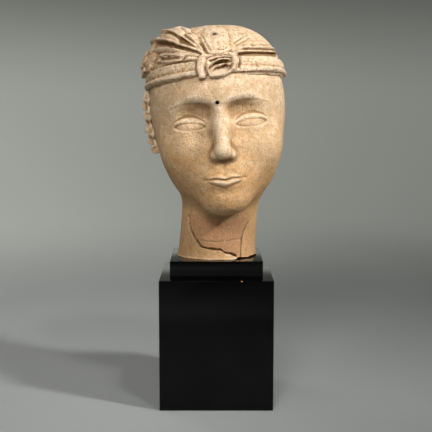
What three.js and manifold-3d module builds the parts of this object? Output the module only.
// A modelled stucco head with a knotted headband, standing by its neck on a stepped black block.
// Millimetres, +Z up, and the face looks along -Y. The origin is the centre of the block's underside.
import * as THREE from "three";
import { mergeVertices } from "three/addons/utils/BufferGeometryUtils.js";
import Module from "manifold-3d";

const wasm = await Module();
wasm.setup();

// The block, and the slab that stands on it
const blockWidth = 152;
const blockHeight = 176;
const slabWidth = 124;
const slabHeight = 24;
const seatGap = 0.3;

// The head: its height runs from the chin to the crown, and its neck from the slab to the chin
const headHeight = 248;
const neckLength = 66;
const neckWidth = 104;
const headBreadth = 188;
const headRoll = 4.5;
const headYaw = 1.5;
const headPitch = 1;
const headShift = 12.5;
const browHoleWidth = 4.2;
const crownHoleWidth = 4.6;
const holeDepth = 14;
const crackWidth = 2.2;
const crackDepth = 5;
const brokenFootHeight = 3.5;
const brokenFootDepth = 14;

// One unit of the head's own frame is a hundredth of the head's height
const unit = headHeight / 100;
const seat = blockHeight + slabHeight + seatGap;
const neckReach = neckLength / unit;
const neckRadius = neckWidth / 2 / unit;
const neckBack = 8;
const breadth = headBreadth / (0.724 * headHeight);

const radians = THREE.MathUtils.degToRad;

// Smooth union and smooth cut of two distances, rounded over a width k
function join(a, b, k) {
  const h = Math.max(k - Math.abs(a - b), 0) / k;
  return Math.min(a, b) - (h * h * k) / 4;
}

function carve(a, b, k) {
  return -join(-a, b, k);
}

function meet(a, b, k) {
  return -join(-a, -b, k);
}

function ellipsoid(x, f, z, rx, rf, rz) {
  const near = Math.hypot(x / rx, f / rf, z / rz);
  const far = Math.hypot(x / (rx * rx), f / (rf * rf), z / (rz * rz));
  return far === 0 ? -Math.min(rx, rf, rz) : (near * (near - 1)) / far;
}

// Distance to a rod from a to b whose radius runs from ra to rb
function rod(x, f, z, a, b, ra, rb) {
  const [ux, uf, uz] = [b[0] - a[0], b[1] - a[1], b[2] - a[2]];
  const [vx, vf, vz] = [x - a[0], f - a[1], z - a[2]];
  const t = THREE.MathUtils.clamp((vx * ux + vf * uf + vz * uz) / (ux * ux + uf * uf + uz * uz), 0, 1);
  return Math.hypot(vx - t * ux, vf - t * uf, vz - t * uz) - (ra + t * (rb - ra));
}

// The skull, cheeks, jaw and chin, in head units: x to the side, f forward, z up from the chin
function skull(x, f, z) {
  const side = Math.abs(x);
  let d = ellipsoid(x, f + 6, z - 60, 34.8, 40, 35);
  d = join(d, ellipsoid(x, f - 8, z - 64, 30.5, 26.5, 24), 8);
  d = join(d, ellipsoid(x, f - 2, z - 42, 32, 30.5, 31), 10);
  d = join(d, ellipsoid(x, f - 4, z - 25, 27, 27, 24.5), 10);
  d = join(d, ellipsoid(side - 16, f - 17, z - 35, 12, 11, 12), 10);
  d = join(d, ellipsoid(x, f - 24, z - 20, 14, 11.5, 10), 8);
  d = join(d, ellipsoid(x, f - 23.6, z - 7.5, 10.5, 8.8, 7.6), 11);
  return d;
}

function nose(x, f, z) {
  const side = Math.abs(x);
  let d = rod(x, f, z, [0, 30.6, 58], [0, 38.2, 36], 3.4, 3.4);
  d = join(d, rod(x, f, z, [0, 28, 52], [0, 33, 34], 4.2, 5.4), 5);
  d = join(d, ellipsoid(x, f - 39.2, z - 33.2, 4, 3.9, 3.7), 3);
  d = join(d, ellipsoid(side - 4.5, f - 34.8, z - 31.8, 2.9, 4.2, 3), 1.6);
  return carve(d, ellipsoid(side - 2.6, f - 36.8, z - 28.3, 1.5, 2.6, 1.3), 0.8);
}

function face(x, f, z) {
  const side = Math.abs(x);
  let d = skull(x, f, z);
  d = carve(d, ellipsoid(side - 15.4, f - 37.2, z - 52.6, 14.5, 9.2, 8), 3);
  d = carve(d, ellipsoid(side - 12, f - 35, z - 43.5, 8, 4.4, 6), 3);
  d = join(d, nose(x, f, z), 2.6);
  d = join(d, ellipsoid(side - 15, f - 21 + 0.22 * (side - 15), z - 47.4, 11, 8.9, 7), 1.6);
  return join(d, ellipsoid(x, f - 26, z - 19.5, 11, 6.5, 6), 4);
}

// The cloth and hair drawn back over the crown, above the headband
function crown(x, f, z) {
  const [a, b, c] = [Math.abs(x) / 35.3, Math.abs(f + 6.5) / 41, Math.abs(z - 62) / 37.2];
  const power = 2.5;
  const dome = ((a ** power + b ** power + c ** power) ** (1 / power) - 1) * 34;
  return meet(dome, 67.5 + 0.1 * f - z, 2);
}

// The hair behind the temples, down to the nape
function nape(x, f, z) {
  const shell = ellipsoid(x, f + 9, z - 57, 35, 39, 34.5);
  return meet(meet(shell, f - 3, 4), 30 - z, 8);
}

function head(wide, f, z) {
  const x = wide / breadth;
  return join(join(face(x, f, z), crown(x, f, z), 1.5), nape(x, f, z), 1.2);
}

// Bust frame in units, from the middle of the neck's foot: x to the side, f forward, z up
const tilt = new THREE.Matrix4().makeRotationFromEuler(
  new THREE.Euler(radians(headPitch), -radians(headRoll), radians(headYaw), "ZYX"),
);
const headPlace = new THREE.Matrix4()
  .makeTranslation(headShift / unit, -neckBack, neckReach)
  .multiply(tilt);
const toHead = headPlace.clone().invert().elements;

function bust(x, f, z) {
  const y = -f;
  const hx = toHead[0] * x + toHead[4] * y + toHead[8] * z + toHead[12];
  const hy = toHead[1] * x + toHead[5] * y + toHead[9] * z + toHead[13];
  const hz = toHead[2] * x + toHead[6] * y + toHead[10] * z + toHead[14];
  const lean = (headShift / unit) * Math.max(0, z / neckReach) * 0.4;
  const flare = 1.2 * Math.exp(-Math.max(0, z) / 4);
  const column = Math.max(Math.hypot(x - lean, f * 1.04) - neckRadius - flare, z - neckReach - 40);
  return join(head(hx, -hy, hz), column, 9);
}

// The outermost point of a form on a ray, all in units
function surfacePoint(form, origin, direction) {
  let reach = 85;
  for (let i = 0; i < 90; i++) {
    const p = origin.clone().addScaledVector(direction, reach);
    const d = form(p.x, -p.y, p.z);
    if (d < 1e-3) break;
    reach -= d * 0.6;
  }
  return origin.clone().addScaledVector(direction, reach);
}

function slope(form, p) {
  const e = 0.4;
  const at = (x, y, z) => form(x, -y, z);
  return new THREE.Vector3(
    at(p.x + e, p.y, p.z) - at(p.x - e, p.y, p.z),
    at(p.x, p.y + e, p.z) - at(p.x, p.y - e, p.z),
    at(p.x, p.y, p.z + e) - at(p.x, p.y, p.z - e),
  ).normalize();
}

function way(azimuth, rise) {
  const [a, e] = [radians(azimuth), radians(rise)];
  return new THREE.Vector3(Math.sin(a) * Math.cos(e), -Math.cos(a) * Math.cos(e), Math.sin(e));
}

// Places on the head about its hub, at a level, or seen from the front, and places on the neck by millimetres
const hub = new THREE.Vector3(0, 6, 62);
const onHead = { form: head, at: (azimuth, rise) => surfacePoint(head, hub, way(azimuth, rise)) };
const onLevel = {
  form: head,
  at: (azimuth, level) => surfacePoint(head, new THREE.Vector3(0, hub.y, level), way(azimuth, 0)),
};
const onFace = { form: head, at: (x, z) => surfacePoint(head, new THREE.Vector3(x, 0, z), way(0, 0)) };
const onNeck = {
  form: bust,
  at: (azimuth, height) => surfacePoint(bust, new THREE.Vector3(0, 0, height / unit), way(azimuth, 0)),
};

// The headband's level round the head: it dips towards the viewer's left and the nape
function bandLevel(azimuth) {
  const a = radians(azimuth);
  return 3.8 * Math.cos(a) + 1.4 * Math.sin(a) + 0.65 * Math.cos(2 * a);
}

// Rings of the surface from the crown down: rays by level on the head's axis, rise, and lift off the form.
// The band's rows follow its own level: a flat strip on top, a groove, and a round strand below.
const crownRings = [76, 62, 49, 38].map((rise) => ({ level: hub.z, rise, lift: 0 }));
const bandRings = [
  [81.5, 0], [77.2, 0], [76.8, 1.1], [74.2, 1.1], [72, 1], [71.6, 0.1], [71.2, 1.3], [69.6, 2], [68, 1.4],
  [67.4, 0],
].map(([base, lift]) => ({ level: (azimuth) => base + bandLevel(azimuth), rise: 0, lift }));
const faceRings = [
  [61.5, 0], [58.5, 0], [56, 0], [53.5, 0], [51, 0], [48.5, 0], [46, 0], [43, 0], [40, 0], [37, 0],
  [34.5, 0], [32.2, 0], [30, 0], [27.6, 0], [25, 0], [22, 0], [19, 0], [16.5, 0], [15, -3], [13.5, -9],
  [12, -16], [11, -24], [10, -32],
].map(([level, rise]) => ({ level, rise, lift: 0 }));
const neckRings = [
  [4, -40], [-3, -36], [-9, -26], [-14, -14], [-18, -5], [-22, 0], [-neckReach, 0],
].map(([level, rise]) => ({ level, rise, lift: 0 }));
const columnCount = 42;

// Columns lie closer together over the face than behind it
function columnTurn(share) {
  const turn = 2 * share - 1;
  return 180 * (0.38 * turn + 0.62 * turn ** 3);
}

// Closes rings of points, all alike in number, with a point at each end
function ringsGeometry(rings, first, last) {
  const count = rings[0].length;
  const points = [...rings.flat(), first, last];
  const faces = [];
  const at = (ring, k) => ring * count + (k % count);
  for (let k = 0; k < count; k++) {
    for (let ring = 0; ring < rings.length - 1; ring++) {
      faces.push(at(ring, k), at(ring + 1, k), at(ring, k + 1));
      faces.push(at(ring, k + 1), at(ring + 1, k), at(ring + 1, k + 1));
    }
    faces.push(points.length - 2, at(0, k), at(0, k + 1));
    faces.push(points.length - 1, at(rings.length - 1, k + 1), at(rings.length - 1, k));
  }
  return new THREE.BufferGeometry().setFromPoints(points).setIndex(faces);
}

// The head and neck in bust units, before anything is laid on or cut away. Rays turn from the head's own
// frame to the upright neck's as they go down, so that the foot is level.
function bustGeometry() {
  const rings = [];
  for (const { level, rise, lift } of [...crownRings, ...bandRings, ...faceRings, ...neckRings]) {
    const ring = [];
    for (let column = 0; column < columnCount; column++) {
      const azimuth = columnTurn(column / columnCount);
      const height = typeof level === "function" ? level(azimuth) : level;
      const headShare = THREE.MathUtils.smoothstep(height, -neckReach, 8);
      const from = new THREE.Vector3(0, hub.y, height).applyMatrix4(headPlace);
      const upright = new THREE.Vector3(0, 0, neckReach + height);
      const plain = way(azimuth, rise);
      const aim = plain.clone().transformDirection(tilt).lerp(plain, 1 - headShare).normalize();
      const point = surfacePoint(bust, upright.lerp(from, headShare), aim);
      ring.push(point.addScaledVector(aim, lift));
    }
    rings.push(ring);
  }
  const up = way(0, 90).transformDirection(tilt);
  const top = surfacePoint(bust, hub.clone().applyMatrix4(headPlace), up);
  return ringsGeometry(rings, top, new THREE.Vector3());
}

// A rounded strip along a path of stops, wide across, standing high and sunk into what it lies on, in units.
// Its width and height may change along the path, and it narrows at its ends.
function strip(surface, stops, { wide, high, sunk = 1.2, steps = 6, ends = 0.35, sides = 5 }) {
  const path = new THREE.CatmullRomCurve3(stops.map(([a, b]) => new THREE.Vector3(a, b, 0)));
  const value = (v, t) => (typeof v === "function" ? v(t) : v);
  const centre = (t) => {
    const stop = path.getPoint(THREE.MathUtils.clamp(t, 0, 1));
    return surface.at(stop.x, stop.y);
  };
  const rings = [];
  const middles = [];
  for (let step = 0; step <= steps; step++) {
    const t = step / steps;
    const middle = centre(t);
    const along = centre(t + 0.02).sub(centre(t - 0.02)).normalize();
    const out = slope(surface.form, middle);
    const across = new THREE.Vector3().crossVectors(along, out).normalize();
    const narrow = ends + (1 - ends) * Math.sqrt(Math.sin(Math.PI * t) + 1e-9);
    const ring = [];
    for (let k = 0; k < sides; k++) {
      const turn = (2 * Math.PI * k) / sides;
      const lift = Math.sin(turn) * (Math.sin(turn) > 0 ? value(high, t) * narrow : sunk);
      ring.push(
        middle.clone()
          .addScaledVector(across, (Math.cos(turn) * value(wide, t) * narrow) / 2)
          .addScaledVector(out, lift),
      );
    }
    rings.push(ring);
    middles.push(middle.clone().addScaledVector(out, (value(high, t) * narrow - sunk) / 4));
  }
  return ringsGeometry(rings, middles[0], middles.at(-1));
}

// A round dimpled curl of clay pressed onto the head
function curl(surface, [azimuth, place], size) {
  const middle = surface.at(azimuth, place);
  const profile = [[0, -0.6], [1, -0.1], [0.6, 0.8], [0, 0.25]];
  const disc = new THREE.LatheGeometry(profile.map(([r, h]) => new THREE.Vector2(r * size, h * size)), 6);
  const out = slope(surface.form, middle);
  disc.applyQuaternion(new THREE.Quaternion().setFromUnitVectors(new THREE.Vector3(0, 1, 0), out));
  return disc.translate(middle.x, middle.y, middle.z);
}

// Lids round two open eyes, and the two lips
function features() {
  const parting = 19.6;
  const onLips = (stops) => stops.map(([x, above]) => [x, parting + above]);
  const pieces = [
    strip(onFace, onLips([[-9.5, 0.9], [-3, 2.5], [0, 2], [3, 2.5], [9.5, 0.9]]), {
      wide: 3,
      high: 1.3,
      steps: 8,
    }),
    strip(onFace, onLips([[-8.5, -0.6], [0, -2.3], [8.5, -0.6]]), { wide: 3.4, high: 1.7 }),
  ];
  for (const side of [-1, 1]) {
    const upper = [[7.4, 47], [10.6, 49.2], [15.2, 50.2], [19.8, 49.4], [23.2, 47.4]];
    const lower = [[7.8, 46.7], [11.2, 45.3], [15.4, 44.7], [19.6, 45.4], [22.8, 47]];
    const mirrored = (stops) => stops.map(([x, z]) => [side * x, z]);
    pieces.push(strip(onFace, mirrored(upper), { wide: 1.7, high: 1.1, steps: 5 }));
    pieces.push(strip(onFace, mirrored(lower), { wide: 1.4, high: 0.8, steps: 5 }));
  }
  return pieces;
}

// The knot: a wrap on each side, two ridges across the top, and a loop's two lips with a hollow between
function knot() {
  return [
    strip(onHead, [[-6.5, 27], [-10.8, 22.3], [-12.4, 18], [-12, 12.5]], { wide: 5.2, high: 3.8, ends: 0.7 }),
    strip(onHead, [[13.6, 26.5], [14.5, 20.6], [12.6, 13.8]], { wide: 2.8, high: 3.8, ends: 0.6 }),
    strip(onHead, [[-8.5, 24.8], [0, 26], [7.5, 26], [14, 25]], { wide: 2.2, high: 3.2 }),
    strip(onHead, [[-7.5, 22.4], [0, 23.4], [8, 23.6], [13.5, 22.6]], { wide: 2, high: 3 }),
    strip(onHead, [[-7, 16.6], [0, 19.4], [6, 20.4], [12, 20.6]], { wide: 3.6, high: 4 }),
    strip(onHead, [[-7, 14], [1, 14], [7, 15.4], [12, 18]], { wide: 1.9, high: 3.2 }),
  ];
}

// The cloth above the knot: a fold that cups a smooth lobe, with the crown's hole behind it
function lobe() {
  const fold = [[-13.5, 41], [-9.1, 31.8], [-6, 28.6], [0, 27.8], [7.4, 28.2], [12.6, 31.4]];
  return [
    strip(onHead, fold, { wide: 1.9, high: 2, steps: 9 }),
    strip(onHead, [[0, 27], [0, 38], [0, 50], [0, 62]], { wide: 13, high: 1.3 }),
  ];
}

// Pleats that fan out from the knot to the viewer's upper left, where their ends stand proud on a full bunch
function fan() {
  const grow = (from, to) => (t) => from + (to - from) * t ** 1.3;
  const shape = (wide, high) => ({ wide: grow(1.8, wide), high: grow(1.6, high), ends: 0.75 });
  const bunch = [[-30, 46], [-52, 50], [-74, 50], [-98, 44]];
  return [
    strip(onHead, bunch, { wide: 18, high: 4.5, sunk: 2, ends: 0.6 }),
    strip(onHead, [[-9.5, 26.8], [-22.4, 32], [-34, 37.5], [-57, 43], [-84, 44]], shape(6, 8.6)),
    strip(onHead, [[-9.5, 29.5], [-23.9, 39.6], [-40.6, 48], [-78, 54]], shape(5.5, 8)),
    strip(onHead, [[-9.5, 32.5], [-15.9, 39.2], [-26.6, 47.5], [-68, 64]], shape(4.5, 3.6)),
    strip(onHead, [[-9.8, 36], [-17.6, 44.2], [-32, 54]], shape(2, 1)),
    strip(onHead, [[-15, 27.6], [-24, 29], [-37, 31.5], [-54, 36], [-84, 38]], { wide: 4.4, high: 2.2 }),
    strip(onHead, [[-17, 25.6], [-28, 25.4], [-40, 25.8], [-54, 28]], { wide: 2.4, high: 1.6 }),
  ];
}

// Long folds drawn back over the viewer's right side
function sideFolds() {
  const shape = { wide: 2, high: 1.6, ends: 0.5 };
  return [
    strip(onHead, [[16.9, 29.6], [27.3, 28.9], [38.4, 28], [68, 28.6]], shape),
    strip(onHead, [[19, 32.8], [33.3, 32.2], [48.6, 31.2], [70, 32]], shape),
  ];
}

// A tuft of curls above the band on the viewer's left, ringlets before the ears' places, locks down the nape
function hair() {
  const tufts = [[-58, 23], [-66, 32], [-71, 22], [-78, 36], [-86, 24], [-92, 36]];
  const pieces = tufts.map((place) => curl(onHead, place, 4));
  const tuft = [[-58, 28], [-75, 30], [-98, 29], [-124, 27]];
  pieces.push(strip(onHead, tuft, { wide: 19, high: 5, sunk: 2, steps: 5 }));
  for (let i = 0; i < 7; i++) pieces.push(curl(onLevel, [-77 - 6 * (i % 2), 63.5 - 4.5 * i], 2.9));
  for (const turn of [-104, 112, 132]) {
    for (let i = 0; i < 3; i++) pieces.push(curl(onLevel, [turn, 61 - 8 * i], 3.9));
  }
  const [lockStep, lockCount] = [24, 5];
  for (let i = 0; i < lockCount; i++) {
    const turn = 180 + lockStep * (i - (lockCount - 1) / 2);
    const lock = [[turn, 65], [turn + 4, 56], [turn - 4, 45], [turn, 33]];
    pieces.push(strip(onLevel, lock, { wide: 11, high: 2, steps: 4 }));
  }
  return pieces;
}

// Holes for lost inlays, bored square to the surface
function bore([azimuth, rise], width) {
  const middle = onHead.at(azimuth, rise);
  const hole = new THREE.CylinderGeometry(width / 2 / unit, width / 2 / unit, (2 * holeDepth) / unit, 8);
  const out = slope(head, middle);
  hole.applyQuaternion(new THREE.Quaternion().setFromUnitVectors(new THREE.Vector3(0, 1, 0), out));
  return hole.translate(middle.x, middle.y, middle.z);
}

// The refitted shard's open joints, and the broken foot beside it, which doesn't reach the slab
const leftCrack = [
  [-52, 57], [-47.5, 51], [-49.5, 44], [-39.5, 33.5], [-33.5, 24.5], [-23, 16.5], [-14, 15], [6, 13.5],
  [13.5, 9], [21, 8.5], [30, 4.5],
];
const rightCrack = [[38.3, 0], [39.8, 14], [40.4, 26], [43.3, 35.6], [46.5, 42], [56, 53]];
const brokenFoot = [[24, 0], [38, 0], [52, 0], [66, 0], [84, 0]];
function breaks() {
  const crack = { wide: crackWidth / unit, high: 1, sunk: crackDepth / unit, ends: 0.5, sides: 4 };
  return [
    strip(onNeck, leftCrack, { ...crack, steps: 12 }),
    strip(onNeck, rightCrack, { ...crack, steps: 7 }),
    strip(onNeck, brokenFoot, {
      wide: (2 * brokenFootHeight) / unit,
      high: 3,
      sunk: brokenFootDepth / unit,
    }),
  ];
}

// A closed geometry in the head's or the bust's units becomes a solid in millimetres
const toMillimetres = new THREE.Matrix4()
  .makeTranslation(0, 0, seat)
  .scale(new THREE.Vector3(unit, unit, unit));
const headToMillimetres = toMillimetres.clone().multiply(headPlace);
function solid(geometry, placement) {
  geometry.deleteAttribute("normal");
  geometry.deleteAttribute("uv");
  const merged = mergeVertices(geometry.applyMatrix4(placement), 1e-4);
  const vertProperties = Float32Array.from(merged.attributes.position.array);
  const triVerts = Uint32Array.from(merged.index.array);
  const made = new wasm.Manifold(new wasm.Mesh({ numProp: 3, vertProperties, triVerts }));
  if (made.volume() > 0) return made;
  for (let i = 0; i < triVerts.length; i += 3) triVerts.subarray(i, i + 3).reverse();
  return new wasm.Manifold(new wasm.Mesh({ numProp: 3, vertProperties, triVerts }));
}

// The bust with everything laid on it, and then its holes and cracks cut away
function headGeometry() {
  let bustSolid = solid(bustGeometry(), toMillimetres);
  for (const piece of [features(), knot(), lobe(), fan(), sideFolds(), hair()].flat()) {
    bustSolid = bustSolid.add(solid(piece, headToMillimetres));
  }
  const holes = [bore([-1.5, -5], browHoleWidth), bore([1, 47.5], crownHoleWidth)];
  for (const hole of holes) bustSolid = bustSolid.subtract(solid(hole, headToMillimetres));
  for (const gap of breaks()) bustSolid = bustSolid.subtract(solid(gap, toMillimetres));
  const { vertProperties, triVerts } = bustSolid.getMesh();
  return new THREE.BufferGeometry()
    .setAttribute("position", new THREE.BufferAttribute(vertProperties, 3))
    .setIndex(new THREE.BufferAttribute(triVerts, 1));
}

const stucco = new THREE.MeshStandardMaterial({ color: 0xc49a6c, roughness: 0.85, metalness: 0 });
const lacquer = new THREE.MeshStandardMaterial({ color: 0x0b0b0c, roughness: 0.3, metalness: 0 });

const headPart = new THREE.Mesh(headGeometry(), stucco);
headPart.name = "head";

const slab = new THREE.Mesh(new THREE.BoxGeometry(slabWidth, slabWidth, slabHeight), lacquer);
slab.name = "plinth_slab";
slab.position.z = blockHeight + slabHeight / 2;

const block = new THREE.Mesh(new THREE.BoxGeometry(blockWidth, blockWidth, blockHeight), lacquer);
block.name = "plinth_block";
block.position.z = blockHeight / 2;

const part = new THREE.Group();
part.add(headPart, slab, block);

export default part;
